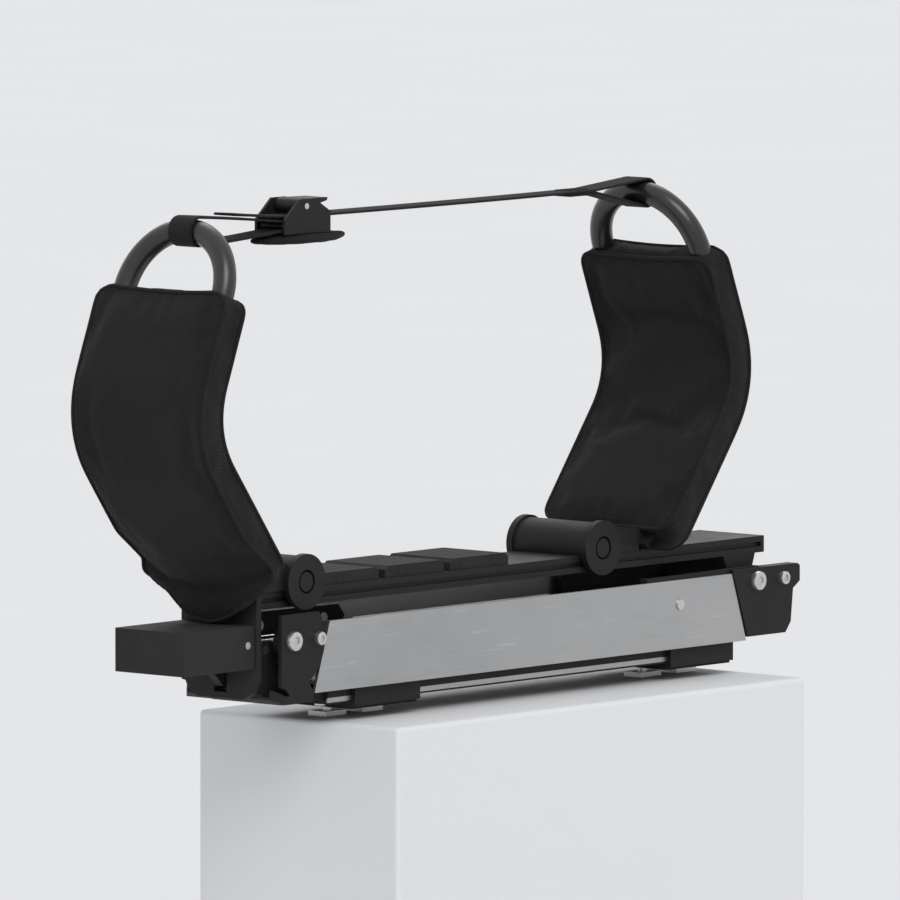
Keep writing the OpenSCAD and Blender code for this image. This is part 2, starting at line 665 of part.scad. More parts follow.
// Lower outer corner of the padded run
pad_out = [core_x, core_z] + low_dir * pad_start - low_n * pad_t / 2;
leg_gap = loop_d / 2 + seam;
module arm_pad(flap_z, sag) difference() {
  front_outline(arm_outline(pad_w / 2, pad_taper, pad_low(pad_w / 2, flap_z, sag))) union() {
    slab(band(arm_path(pad_start, 0), pad_t / 2), -pad_w / 2, pad_w / 2);
    slab([pad_out, [pad_out[0], flap_z], [flap_x, flap_z], [flap_x, core_z - 2.4],
      [core_x, core_z] - low_n * (core_t / 2 + seam), [core_x, core_z] + low_dir * (pad_start + 2)],
      -pad_w / 2, pad_w / 2);
  }
  // Pockets for the heads of the arm's bolts
  at_arm_bolts() translate([0, 0, -core_t / 2 - 4.3]) cylinder(h = 5, d = arm_bolt_head + 1);
  front_outline(arm_outline(core_half_w + seam, core_taper, core_low(core_half_w + seam)))
    slab(band(arm_path(-4, -4), core_t / 2 + seam), -core_half_w - seam, core_half_w + seam);
  both_sides() leg_room(leg_gap, 9, loop_r - leg_gap, loop_r + leg_gap);
}
module arm_pad_outboard() color(charcoal) arm_pad(beam_z1 - flap_drop, flap_sag);
module arm_pad_inboard() color(charcoal) to_inboard() arm_pad(beam_z1 + seam, 0);

module clamp_disc() difference() {
  pin(ear, disc_r, foot_half_w, foot_half_w + disc_t);
  pin(ear, 10, foot_half_w + 2, foot_half_w + disc_t + 1);
  pin(ear, 5.1, foot_half_w - 1, foot_half_w + disc_t + 1);
}
module clamp_discs() color(black) {
  both_sides() clamp_disc();
  to_inboard() both_sides() clamp_disc();
}

module clamp_bolt() {
  pin(ear, 5, -foot_half_w - 3, foot_half_w + 3);
  both_sides() pin(ear, 8, foot_half_w + 2, foot_half_w + disc_t - 0.5);
}
module clamp_bolts() color(black) {
  clamp_bolt();
  to_inboard() clamp_bolt();
}

module arm_bolt_pair() at_arm_bolts() {
  translate([0, 0, -core_t / 2 - 4]) cylinder(h = 4, d = arm_bolt_head);
  translate([0, 0, -core_t / 2 - 1]) cylinder(h = core_t + 5, d = arm_bolt_d);
}
module arm_bolts() color(steel) {
  arm_bolt_pair();
  to_inboard() arm_bolt_pair();
}

// Handle and release
module lift_handle() color(black) difference() {
  union() {
    // Riser: hangs from the beam's end and closes the housing's outboard end when stowed
    translate([beam_x0 - 6, 0, 0]) rotate([90, 0, 90]) linear_extrude(6) polygon([[-riser_w / 2, beam_z1],
      [-riser_w / 2, hous_z0 + 20], [-riser_w / 2 + 5, hous_z0 + 9], [-riser_w / 2 + 15, hous_z0 + 4],
      [riser_w / 2 - 15, hous_z0 + 4], [riser_w / 2 - 5, hous_z0 + 9], [riser_w / 2, hous_z0 + 20],
      [riser_w / 2, beam_z1]]);
    block(grip_x0, beam_x0 - 1, -handle_w / 2, handle_w / 2, grip_z0, grip_z1);
  }
  // Finger room, open below
  block(grip_x0 + handle_wall, beam_x0 - 6, -handle_w / 2 + handle_wall, handle_w / 2 - handle_wall,
    grip_z0 - 10, grip_z1 - handle_wall);
  // Room for the hook to pass
  block(beam_x0 - 20, beam_x0 + 1, -window_half_y, window_half_y, window_z0 - 2, p_rel[1] + 6);
  pin(p_rel, 3, -handle_w, handle_w);
}

module release_lever() color(charcoal) difference() {
  union() {
    pin(p_rel, 6, -4.5, 4.5);
    slab([p_rel + [0, 5], p_rel + [-14, 3], [grip_x0 + handle_wall + 6, grip_z0 + 9],
      [grip_x0 + handle_wall + 6, grip_z0 + 4], p_rel + [-16, -7], p_rel + [0, -6]], -4.5, 4.5);
    slab([p_rel + [-20, 0], [grip_x0 + handle_wall + 6, grip_z0 + 9],
      [grip_x0 + handle_wall + 6, grip_z0 + 4], p_rel + [-20, -7]], -lever_half_y, lever_half_y);
    // Hook down to the window
    slab([p_rel + [-5, 0], p_rel + [-3, -26], [hous_x0 - 9, window_z0 + 2.8], [hous_x0 + 3, window_z0 + 2.8],
      [hous_x0 + 3, window_z1 - 2], [hous_x0 - 2.5, window_z1 - 2], p_rel + [5, -2]], -4.5, 4.5);
  }
  pin(p_rel, 3 + fit, -10, 10);
}

module release_pin() color(steel) pin(p_rel, 3, -handle_w / 2, handle_w / 2);

spring_n = 5;
module release_spring() color(steel) for (s = [-1, 1]) for (i = [0:spring_n - 1])
  translate([p_rel[0], s * (8 + i * 2.4), p_rel[1]]) rotate([90, 0, 0])
    rotate_extrude() translate([5.2, 0]) circle(d = 1.6, $fn = 16);

// Strap
module belt_2d(extra) hull() {
  translate(band_c) circle(r = band_r + extra, $fn = 40);
  translate(bar_c) circle(r = bar_r + 0.2 + extra, $fn = 24);
}
module strap_outboard() color(charcoal) translate([0, web_w / 2, 0]) rotate([90, 0, 0]) linear_extrude(web_w)
  difference() {
    belt_2d(web_t);
    belt_2d(0);
  }

join_x = crown_in[0] - 70;
module strap_main() color(charcoal) translate([0, web_w / 2, 0]) rotate([90, 0, 0]) linear_extrude(web_w)
  difference() {
    union() {
      hull() {
        translate([crown_in[0], band_c[1]]) circle(r = band_r + web_t, $fn = 40);
        translate([join_x, web_z - 0.5]) circle(r = web_t, $fn = 12);
      }
      polygon(band([[join_x, web_z], [buckle_x, web_z], [bar_c[0], web_z + 0.6],
        [bar_c[0] - 20, web_z + 2.2], [bar_c[0] - 60, web_z + 6]], web_t / 2));
    }
    hull() {
      translate([crown_in[0], band_c[1]]) circle(r = band_r, $fn = 40);
      translate([join_x + 6, web_z - 0.5]) circle(r = 0.2, $fn = 12);
    }
  }

module buckle_frame() color(black) {
  pin(bar_c, bar_r, -web_w / 2 - 2, web_w / 2 + 2);
  difference() {
    buckle_shell();
    pin(cam_c, 2.5, -arm_w, arm_w);
  }
}
module buckle_shell() difference() {
  union() {
    block(bar_c[0], buckle_x + buckle_l / 2, -web_w / 2 - 4, web_w / 2 + 4, web_z - 4.2, web_z - 1.6);
    both_sides() slab([[bar_c[0] - 5, buckle_z0], [buckle_x + buckle_l / 2, buckle_z0],
      [buckle_x + buckle_l / 2, web_z + 3], cam_c + [10, 6], cam_c + [-8, 6], [bar_c[0] - 5, web_z - 2]],
      web_w / 2 + 1.5, web_w / 2 + 4);
  }
  pin(bar_c, bar_r + web_t + 0.6, -web_w / 2 - 1.5, web_w / 2 + 1.5);
}

module cam_lever() color(black) difference() {
  union() {
    pin(cam_c, 6.2, -web_w / 2, web_w / 2);
    slab([cam_c + [-4, -5], cam_c + [2, -6.7], cam_c + [6, -2], cam_c + [30, 3], cam_c + [31, 5.5],
      cam_c + [4, 6]], -web_w / 2, web_w / 2);
  }
  pin(cam_c, 2.5 + fit, -arm_w, arm_w);
}

module cam_pin() color(steel) pin(cam_c, 2.5, -web_w / 2 - 4.6, web_w / 2 + 4.6);

// Lens shape: two large cylinders that cross
lens_r = (pow(buckle_pad_l / 2, 2) + pow(buckle_pad_w / 2, 2)) / buckle_pad_w;
module buckle_pad() color(charcoal) translate([buckle_x + 4, 0, buckle_z0 - buckle_pad_t]) intersection() {
  translate([0, lens_r - buckle_pad_w / 2, 0]) cylinder(h = buckle_pad_t, r = lens_r);
  translate([0, buckle_pad_w / 2 - lens_r, 0]) cylinder(h = buckle_pad_t, r = lens_r);
}

seat_pads();
foot_outboard();
foot_inboard();
t_bolts();
t_bolt_nuts();
base_rail();
rail_trims();
rail_end_cap();
outboard_housing();
tongue_screws();
stop_screws();
lift_pivot_pins();
control_pins();
strut_studs();
striker_plate();
rest_buffers();
lift_channel();
root_bars();
knuckle_front();
knuckle_rear();
channel_rivets();
arm_screws();
pivot_bushes();
strut_bracket();
strut_pin();
cradle_pin();
knuckle_screws();
control_link_front();
control_link_rear();
strut_cylinder_front();
strut_cylinder_rear();
strut_rod_front();
strut_rod_rear();
cradle_hub();
cradle_bush();
level_pin();
cradle_beam();
beam_end_cap();
saddle_pads();
arm_foot_outboard();
arm_foot_inboard();
arm_core_outboard();
arm_core_inboard();
arm_pad_outboard();
arm_pad_inboard();
arm_loop_outboard();
arm_loop_inboard();
clamp_discs();
clamp_bolts();
arm_bolts();
lift_handle();
release_lever();
release_pin();
release_spring();
strap_outboard();
strap_main();
buckle_frame();
cam_lever();
cam_pin();
buckle_pad();
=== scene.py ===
import json
import math
import bpy
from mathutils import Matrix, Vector


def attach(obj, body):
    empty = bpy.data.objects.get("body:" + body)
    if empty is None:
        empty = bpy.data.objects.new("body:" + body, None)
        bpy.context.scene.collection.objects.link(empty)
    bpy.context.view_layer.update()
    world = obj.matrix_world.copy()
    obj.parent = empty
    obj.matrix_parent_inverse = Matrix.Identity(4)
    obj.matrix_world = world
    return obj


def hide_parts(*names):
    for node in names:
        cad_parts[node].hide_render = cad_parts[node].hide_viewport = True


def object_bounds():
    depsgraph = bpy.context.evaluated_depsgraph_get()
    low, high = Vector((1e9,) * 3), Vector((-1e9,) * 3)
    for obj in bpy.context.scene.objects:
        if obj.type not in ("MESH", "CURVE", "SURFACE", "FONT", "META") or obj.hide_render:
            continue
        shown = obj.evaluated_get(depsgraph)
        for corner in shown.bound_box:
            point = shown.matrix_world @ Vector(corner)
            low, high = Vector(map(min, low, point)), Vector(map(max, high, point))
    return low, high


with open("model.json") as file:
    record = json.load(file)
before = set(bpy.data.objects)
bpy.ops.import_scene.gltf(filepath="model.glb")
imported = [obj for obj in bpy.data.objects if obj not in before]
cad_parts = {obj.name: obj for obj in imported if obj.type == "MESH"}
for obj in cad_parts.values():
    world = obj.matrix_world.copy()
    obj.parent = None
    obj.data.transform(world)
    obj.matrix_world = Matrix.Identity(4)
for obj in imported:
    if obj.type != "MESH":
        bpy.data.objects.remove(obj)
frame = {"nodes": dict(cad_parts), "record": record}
cad_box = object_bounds()
nodes = frame["nodes"]


def v2(x, z):
    """A point or direction in the side view."""
    return Vector((x, z))


# Sizes in metres, as in the part's source
CORE_FOOT = v2(-0.3561, 0.1067)
KNEE = CORE_FOOT + v2(-0.101, 0.136)
TIP = KNEE + v2(0.043, 0.111)
LOW = (KNEE - CORE_FOOT).normalized()
TOP = (TIP - KNEE).normalized()
MID_X = -0.1121
BEND = 0.045
PAD_START = 0.012
PAD_HALF = 0.072
PAD_TAPER = 0.006
FLAP_X = -0.360
LOOP_R = 0.0535
LOOP_TUBE = 0.0095
LEG_UP = -0.001
CROWN = TIP + TOP * (LEG_UP + LOOP_R)
CROWN_IN = v2(2 * MID_X - CROWN.x, CROWN.y)
BAND_C = CROWN - v2(0, 0.00075)
BUCKLE_X = BAND_C.x + 0.130
WEB_Z = BAND_C.y + 0.0055
BAR_C = v2(BUCKLE_X - 0.026, WEB_Z - 0.007)
WEB_W = 0.025
WEB_T = 0.0022
JOIN_X = CROWN_IN.x - 0.070
BUCKLE_PAD = (0.112, 0.046, 0.0095)
BUCKLE_PAD_TOP = WEB_Z - 0.0138
# Pads: half the thickness before swelling, the rounding of the corners, and how much narrower each side
# starts than it may end up
PAD_CORE = 0.0115
PAD_CORNER = 0.013
PAD_SLACK = 0.0014
# The outboard flap's lowest point, the rise of its hem from the middle to the sides, and the inboard
# pad's lower edge
FLAP_Z = 0.0806
FLAP_SAG = 0.031
INBOARD_Z = 0.1046
# Where the pad's underside passes behind the arm's plate and under its foot
PLATE_BACK = 0.0046
FOOT_DROP = 0.0022
# Strap: its clearance from the loop's tube, and the inner radius of its bend round the buckle's bar
BAND_GAP = 0.0011
BAR_BEND = 0.0027
# Screw heads: where they start in Y, how high they stand and how deep their sockets reach
HEAD_Y = 0.0549
HEAD_UP = 0.0048
SOCKET_BED = 0.0032
# Radius of each kind of head and of its socket
PIN_HEAD = (0.0083, 0.0042)
SCREW_HEAD = (0.0058, 0.0030)
# Places of the heads in X and Z
LIFT_PIN = (-0.330, 0.064)
STOP_SCREW = (-0.298, 0.064)
CRADLE_PIN = (0.264, 0.069)
KNUCKLE_SCREW = (0.298, 0.069)


class Look:
    """A node material: one Principled shader, fed by whatever is linked to it."""

    def __init__(self, name, metallic=0.0, roughness=0.5, **sockets):
        self.mat = bpy.data.materials.new(name)
        self.mat.use_nodes = True
        self.tree = self.mat.node_tree
        self.bsdf = self.tree.nodes["Principled BSDF"]
        self.set(self.bsdf, Metallic=metallic, Roughness=roughness)
        for key, value in sockets.items():
            self.bsdf.inputs[key.replace("_", " ")].default_value = value
        self.coords = self.tree.nodes.new("ShaderNodeTexCoord")

    def set(self, node, **values):
        for key, value in values.items():
            self.feed(node.inputs[key], value)

    def stretch(self, scale, source="Object"):
        node = self.tree.nodes.new("ShaderNodeMapping")
        self.set(node, Vector=self.coords.outputs[source], Scale=scale)
        return node.outputs["Vector"]

    def noise(self, scale, detail=3.0, rough=0.55, vector=None):
        node = self.tree.nodes.new("ShaderNodeTexNoise")
        vector = vector or self.coords.outputs["Object"]
        self.set(node, Vector=vector, Scale=scale, Detail=detail, Roughness=rough)
        return node.outputs["Fac"]

    def cells(self, scale):
        node = self.tree.nodes.new("ShaderNodeTexVoronoi")
        self.set(node, Vector=self.coords.outputs["Object"], Scale=scale)
        return node.outputs["Distance"]

    def bands(self, scale, axis, vector):
        node = self.tree.nodes.new("ShaderNodeTexWave")
        node.bands_direction = axis
        node.wave_profile = "SIN"
        self.set(node, Vector=vector, Scale=scale)
        return node.outputs["Fac"]

    def checks(self, scale, vector):
        node = self.tree.nodes.new("ShaderNodeTexChecker")
        self.set(node, Vector=vector, Scale=scale)
        return node.outputs["Fac"]

    def feed(self, socket, value):
        """Links another node's output to the socket, or sets its constant."""
        if isinstance(value, bpy.types.NodeSocket):
            self.tree.links.new(value, socket)
        else:
            socket.default_value = value

    def math(self, how, a, b):
        node = self.tree.nodes.new("ShaderNodeMath")
        node.operation = how
        self.feed(node.inputs[0], a)
        self.feed(node.inputs[1], b)
        return node.outputs[0]

    def span(self, value, low, high, out_low=0.0, out_high=1.0):
        node = self.tree.nodes.new("ShaderNodeMapRange")
        self.set(node, Value=value)
        for index, number in enumerate((low, high, out_low, out_high), start=1):
            node.inputs[index].default_value = number
        return node.outputs[0]

    def mix(self, fac, a, b):
        node = self.tree.nodes.new("ShaderNodeMix")
        node.data_type = "RGBA"
        self.feed(node.inputs[0], fac)
        for socket, value in ((node.inputs[6], a), (node.inputs[7], b)):
            self.feed(socket, (*value, 1.0) if isinstance(value, tuple) else value)
        return node.outputs[2]

    def facing_up(self):
        """1 on faces that look up at rest, 0 on the others."""
        node = self.tree.nodes.new("ShaderNodeSeparateXYZ")
        self.set(node, Vector=self.coords.outputs["Normal"])
        return self.span(node.outputs["Z"], 0.5, 0.95)

    def finish(self, colour, rough, height, depth, strength=1.0):
        """Feeds the shader its colour, its roughness unless that is None, and a relief depth metres high."""
        self.set(self.bsdf, **{"Base Color": colour})
        if rough is not None:
            self.set(self.bsdf, Roughness=rough)
        bump = self.tree.nodes.new("ShaderNodeBump")
        self.set(bump, Height=height, Distance=depth, Strength=strength)
        self.set(self.bsdf, Normal=bump.outputs["Normal"])
        return self.mat


def grey(value, warm=0.0):
    """A grey, warmer with a positive second number and cooler with a negative one."""
    return (value * (1 + warm), value, value * (1 - warm))


def coated(name, shade, rough, grain, depth, dust=0.35, coat=0.0, gleam=0.16):
    """Moulded or coated black: fine grain, patchy gloss, and a little dust where it looks up."""
    look = Look(name, Specular_IOR_Level=gleam, Coat_Weight=coat, Coat_Roughness=0.25)
    patch = look.noise(14.0, 5.0)
    colour = look.mix(look.span(patch, 0.35, 0.65), grey(shade * 0.86), grey(shade * 1.18))
    fleck = look.span(look.noise(420.0, 2.0), 0.62, 0.72)
    colour = look.mix(look.math("MULTIPLY", fleck, 0.18), colour, grey(shade * 2.4, 0.02))
    settled = look.facing_up()
    film = look.math("MULTIPLY", settled, look.span(look.noise(55.0, 6.0, 0.7), 0.35, 0.7, 0.25, 1.0))
    colour = look.mix(look.math("MULTIPLY", film, dust), colour, grey(shade * 2.1 + 0.008, 0.03))
    skin = look.math("ADD", look.cells(grain), look.math("MULTIPLY", look.noise(grain * 2.5, 2.0), 0.5))
    sheen = look.span(patch, 0.3, 0.7, rough - 0.06, rough + 0.06)
    gloss = look.math("ADD", sheen, look.math("MULTIPLY", film, 0.12))
    return look.finish(colour, gloss, skin, depth)


def worn_and_highlit_edge(name, shade, rough):
    """The rounded edge of a coated piece: a little paler and smoother, partly as rubbed wear and partly as a
    painted edge highlight, and broken up.
    """
    look = Look(name, Specular_IOR_Level=0.3)
    # The paler patches are partly rubbed wear and partly a painted highlight on the edge
    rub_and_highlight = look.span(look.noise(160.0, 4.0, 0.7), 0.42, 0.62)
    colour = look.mix(rub_and_highlight, grey(shade), grey(shade * 1.9, 0.01))
    return look.finish(colour, look.span(rub_and_highlight, 0.0, 1.0, rough, rough - 0.12), look.noise(900.0), 0.00004)


def anodised():
    """Satin aluminium: fine lines along X, clouds, smears and a few long scratches."""
    look = Look("satin_aluminium", metallic=1.0)
    drawn = look.noise(1.0, 3.0, 0.6, look.stretch((7.0, 1500.0, 1500.0)))
    cloud = look.noise(6.5, 5.0, 0.6)
    smear = look.noise(1.0, 4.0, 0.65, look.stretch((9.0, 40.0, 55.0)))
    colour = look.mix(look.span(cloud, 0.3, 0.7), grey(0.40, -0.01), grey(0.46, 0.004))
    colour = look.mix(look.span(smear, 0.55, 0.75, 0.0, 0.35), colour, grey(0.33, 0.02))
    line = look.span(look.noise(1.0, 1.0, 0.5, look.stretch((22.0, 900.0, 420.0))), 0.70, 0.74, 0.0, 0.3)
    colour = look.mix(line, colour, grey(0.60))
    rough = look.math("ADD", look.span(drawn, 0.3, 0.7, 0.34, 0.46), look.math("MULTIPLY", smear, 0.06))
    return look.finish(colour, rough, drawn, 0.00005, 0.6)


def zinc(name, shade, rough):
    """Plated metal: frosted, with darker stains."""
    look = Look(name, metallic=1.0)
    frost = look.cells(520.0)
    stain = look.noise(70.0, 5.0, 0.7)
    colour = look.mix(look.span(frost, 0.1, 0.7), grey(shade, -0.01), grey(shade * 0.86, 0.015))
    colour = look.mix(look.span(stain, 0.58, 0.75, 0.0, 0.5), colour, grey(shade * 0.55, 0.05))
    return look.finish(colour, look.span(stain, 0.3, 0.7, rough, rough + 0.12), frost, 0.00003)


def rubber(name, shade, ribs=0.0):
    """Matte rubber with a bloom, and ribs across X where a scale for them is given."""
    look = Look(name, Specular_IOR_Level=0.2)
    bloom = look.noise(38.0, 6.0, 0.68)
    colour = look.mix(look.span(bloom, 0.35, 0.68), grey(shade * 0.85), grey(shade * 1.35, 0.015))
    pits = look.noise(1900.0, 2.0)
    film = look.math("MULTIPLY", look.facing_up(), look.span(bloom, 0.4, 0.65, 0.1, 0.5))
    colour = look.mix(film, colour, grey(shade * 2.2 + 0.006, 0.03))
    height = pits
    if ribs:
        wave = look.bands(ribs, "X", look.coords.outputs["Object"])
        height = look.math("ADD", look.math("MULTIPLY", wave, 6.0), pits)
    return look.finish(colour, look.span(bloom, 0.3, 0.7, 0.74, 0.9), height, 0.00012)


def woven(name, shade, pitch, fuzz=0.5, twill=False):
    """Threads over and under each other, from the piece's own UV map in metres."""
    look = Look(name, roughness=0.9, Sheen_Weight=fuzz, Sheen_Roughness=0.5, Specular_IOR_Level=0.2)
    look.bsdf.inputs["Sheen Tint"].default_value = (0.6, 0.6, 0.62, 1.0)
    cloth = look.stretch((1 / pitch, 1 / pitch, 1.0), "UV")
    if twill:
        skew = look.tree.nodes.new("ShaderNodeMapping")
        look.set(skew, Vector=cloth, Rotation=(0.0, 0.0, math.radians(28)))
        cloth = skew.outputs["Vector"]
    warp = look.bands(math.pi / 10, "X", cloth)
    weft = look.bands(math.pi / 10, "Y", cloth)
    over = look.checks(1.0, cloth)
    height = look.math("ADD", look.math("MULTIPLY", warp, over),
                       look.math("MULTIPLY", weft, look.math("SUBTRACT", 1.0, over)))
    thread = look.noise(1.0, 2.0, 0.6, look.stretch((900.0, 90.0, 1.0), "UV"))
    wear = look.noise(9.0, 5.0, 0.62)
    # The weave is painted darker where it is low: painted shade in the hollows between the threads
    colour = look.mix(look.span(height, 0.0, 1.0), grey(shade * 0.55), grey(shade * 1.15, 0.01))
    colour = look.mix(look.span(thread, 0.4, 0.75, 0.0, 0.5), colour, grey(shade * 1.7, 0.02))
    colour = look.mix(look.span(wear, 0.45, 0.7, 0.0, 0.45), colour, grey(shade * 1.5, 0.03))
    return look.finish(colour, None, height, pitch * 0.22, 0.8)


def strut_tube():
    """The glossy black paint of a strut's cylinder."""
    look = Look("strut_tube", Specular_IOR_Level=0.5, Coat_Weight=0.5, Coat_Roughness=0.18)
    haze = look.noise(24.0, 5.0, 0.65)
    ring = look.bands(30.0, "X", look.coords.outputs["Object"])
    colour = look.mix(look.span(haze, 0.35, 0.7), grey(0.022), grey(0.038, 0.02))
    colour = look.mix(look.span(ring, 0.985, 1.0, 0.0, 0.25), colour, grey(0.07))
    return look.finish(colour, look.span(haze, 0.3, 0.7, 0.28, 0.42), look.noise(1300.0), 0.00003)


LOOKS = {
    "black_plastic": coated("moulded_black", 0.016, 0.52, 1500.0, 0.00008),
    "cast_black": coated("powder_coat", 0.016, 0.50, 780.0, 0.00012),
    "black_metal": coated("satin_coat", 0.014, 0.42, 1100.0, 0.00005),
    "black_tube": coated("tube_coat", 0.013, 0.30, 1400.0, 0.00002, dust=0.12, coat=0.35, gleam=0.4),
    "silver": anodised(),
    "steel": zinc("zinc_plate", 0.66, 0.30),
    "rubber": rubber("rubber", 0.018),
    "pad_cover": woven("pad_weave", 0.0125, 0.0016, fuzz=0.06),
    "webbing": woven("strap_weave", 0.014, 0.0019, fuzz=0.06, twill=True),
}
# Paler materials for the rounded edges of each finish: partly rubbed wear, partly a painted edge highlight
EDGES = {
    "black_plastic": worn_and_highlit_edge("moulded_edge", 0.026, 0.45),
    "cast_black": worn_and_highlit_edge("coat_edge", 0.030, 0.42),
    "black_metal": worn_and_highlit_edge("satin_edge", 0.030, 0.38),
    "silver": zinc("aluminium_edge", 0.60, 0.30),
    "steel": zinc("zinc_edge", 0.76, 0.24),
    "rubber": rubber("rubber_edge", 0.025),
}
OWN = {
    "strut_cylinder_front": strut_tube(),
    "strut_rod_front": zinc("hard_chrome", 0.72, 0.10),
    "saddle_pads": rubber("ribbed_rubber", 0.021, ribs=32.0),
    "base_rail": coated("rail_coat", 0.014, 0.46, 1000.0, 0.00004),
    "lift_handle": coated("handle_grip", 0.024, 0.60, 900.0, 0.00016),
    "release_lever": coated("lever_plastic", 0.014, 0.42, 1400.0, 0.00006),
    "outboard_housing": coated("housing_coat", 0.0145, 0.50, 820.0, 0.00012),
    "cam_lever": coated("lever_coat", 0.018, 0.38, 1300.0, 0.00004),
    "striker_plate": coated("striker_coat", 0.022, 0.36, 1200.0, 0.00003),
}
OWN["strut_cylinder_rear"] = OWN["strut_cylinder_front"]
OWN["strut_rod_rear"] = OWN["strut_rod_front"]

# Width of the rounded edge of each rigid CAD node
ROUND_ELSE = 0.0006
ROUND = {
    "lift_handle": 0.0035, "outboard_housing": 0.0014, "knuckle_front": 0.0016, "knuckle_rear": 0.0016,
    "foot_outboard": 0.0010, "foot_inboard": 0.0010, "saddle_pads": 0.0016, "clamp_discs": 0.0013,
    "cradle_beam": 0.0008, "beam_end_cap": 0.0012, "arm_foot_outboard": 0.0014, "arm_foot_inboard": 0.0014,
    "cradle_hub": 0.0012, "rail_end_cap": 0.0009, "lift_channel": 0.0007, "seat_pads": 0.0004,
    "release_lever": 0.0008, "control_link_front": 0.0008, "control_link_rear": 0.0008,
}
SMOOTH_ONLY = {"arm_loop_outboard", "arm_loop_inboard", "release_spring", "pivot_bushes", "cradle_bush"}

slot_of = {part["node"]: part["material_slot"] for part in frame["record"]["subparts"]}


def dress(name, obj):
    """A CAD node keeps its mesh and gets its finish and, where rigid, rounded edges."""
    slot = slot_of[name]
    obj.data.materials.clear()
    obj.data.materials.append(OWN.get(name, LOOKS[slot]))
    if slot in EDGES:
        obj.data.materials.append(EDGES[slot])
    if name in SMOOTH_ONLY:
        return
    flat = obj.modifiers.new("flat", "DECIMATE")
    flat.decimate_type = "DISSOLVE"
    flat.angle_limit = math.radians(0.6)
    bevel = obj.modifiers.new("edge", "BEVEL")
    bevel.width = ROUND.get(name, ROUND_ELSE)
    bevel.segments = 2
    bevel.limit_method = "ANGLE"
    bevel.angle_limit = math.radians(38)
    bevel.harden_normals = True
    # The rounded edges take the paler edge material: partly wear, partly a painted edge highlight
    if slot in EDGES:
        bevel.material = 1


for name, obj in nodes.items():
    dress(name, obj)


def mesh_piece(name, made, look, body):
    """A smooth piece of the scene that rides on a body, from its vertices, faces and UVs."""
    verts, faces, uvs = made
    mesh = bpy.data.meshes.new(name)
    mesh.from_pydata([tuple(v) for v in verts], [], faces)
    mesh.materials.append(look)
    layer = mesh.uv_layers.new(name="cloth")
    for loop in mesh.loops:
        layer.data[loop.index].uv = uvs[loop.vertex_index]
    mesh.update()
    mesh.shade_smooth()
    obj = bpy.data.objects.new(name, mesh)
    bpy.context.scene.collection.objects.link(obj)
    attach(obj, body)
    return obj


def grid_faces(rows, cols, wrap_rows=False, wrap_cols=False, start=0, flip=False):
    """Quads over a grid of points given row by row."""
    faces = []
    for i in range(rows if wrap_rows else rows - 1):
        for j in range(cols if wrap_cols else cols - 1):
            a = start + i * cols + j
            b = start + i * cols + (j + 1) % cols
            c = start + ((i + 1) % rows) * cols + (j + 1) % cols
            d = start + ((i + 1) % rows) * cols + j
            faces.append((d, c, b, a) if flip else (a, b, c, d))
    return faces


def tube(points, radius, sides, closed=True):
    """Vertices and faces of a round cord through points, and its UVs in metres."""
    count = len(points)
    verts, uvs = [], []
    run = 0.0
    side = None
    for i, point in enumerate(points):
        before = points[i - 1] if (closed or i) else points[0]
        after = points[(i + 1) % count] if (closed or i < count - 1) else points[-1]
        along = (after - before).normalized()
        if side is None:
            level = Vector((0, 0, 1)) if abs(along.z) < 0.9 else Vector((1, 0, 0))
            side = along.cross(level).normalized()
        side = (side - along * side.dot(along)).normalized()
        up = along.cross(side)
        for k in range(sides):
            turn = 2 * math.pi * k / sides
            verts.append(point + (side * math.cos(turn) + up * math.sin(turn)) * radius)
            uvs.append((run, radius * turn))
        run += (after - point).length
    faces = grid_faces(count, sides, wrap_rows=closed, wrap_cols=True, flip=True)
    if not closed:
        faces.append(tuple(range(sides)))
        faces.append(tuple(range((count - 1) * sides, count * sides))[::-1])
    return verts, faces, uvs


def merged(parts):
    """One list of vertices, faces and UVs out of several."""
    verts, faces, uvs = [], [], []
    for part_verts, part_faces, part_uvs in parts:
        shift = len(verts)
        verts += part_verts
        uvs += part_uvs
        faces += [tuple(shift + i for i in face) for face in part_faces]
    return verts, faces, uvs


def rim_loop(rows, cols, inset=0):
    """The closed loop of a grid's points at its rim, or so many steps inside it."""
    first, last_row, last_col = inset, rows - 1 - inset, cols - 1 - inset
    loop = [first * cols + j for j in range(first, last_col + 1)]
    loop += [i * cols + last_col for i in range(first + 1, last_row + 1)]
    loop += [last_row * cols + j for j in range(last_col - 1, first - 1, -1)]
    loop += [i * cols + first for i in range(last_row - 1, first, -1)]
    return loop


def mirrored(points):
    """The points of the inboard arm, from those of the outboard one."""
    return [Vector((2 * MID_X - p.x, p.y, p.z)) for p in points]


def arm_line(count):
    """Points and outward normals, evenly spaced along the middle line of the outboard arm's pad."""
    raw = [CORE_FOOT + LOW * PAD_START]
    start, end = KNEE - LOW * BEND, KNEE + TOP * BEND
    for i in range(41):
        t = i / 40
        raw.append(start * (1 - t) ** 2 + KNEE * 2 * t * (1 - t) + end * t ** 2)
    raw.append(TIP.copy())
    spots = [spot for spot, run in even(raw, count)[0]]
    # Each direction comes from points two steps away, so that the pad turns evenly round the knee
    line = []
    for i, spot in enumerate(spots):
        along = (spots[min(i + 2, count - 1)] - spots[max(i - 2, 0)]).normalized()
        line.append((spot, v2(along.y, -along.x)))
    return line


def even(points, count):
    """A polyline's points at even steps, each with its distance from the start, and the whole length."""
    lengths = [0.0]
    for a, b in zip(points, points[1:]):
        lengths.append(lengths[-1] + (b - a).length)
    out = []
    k = 0
    for i in range(count):
        want = lengths[-1] * i / (count - 1)
        while k < len(points) - 2 and lengths[k + 1] < want:
            k += 1
        part = (want - lengths[k]) / (lengths[k + 1] - lengths[k])
        out.append((points[k].lerp(points[k + 1], part), want))
    return out, lengths[-1]


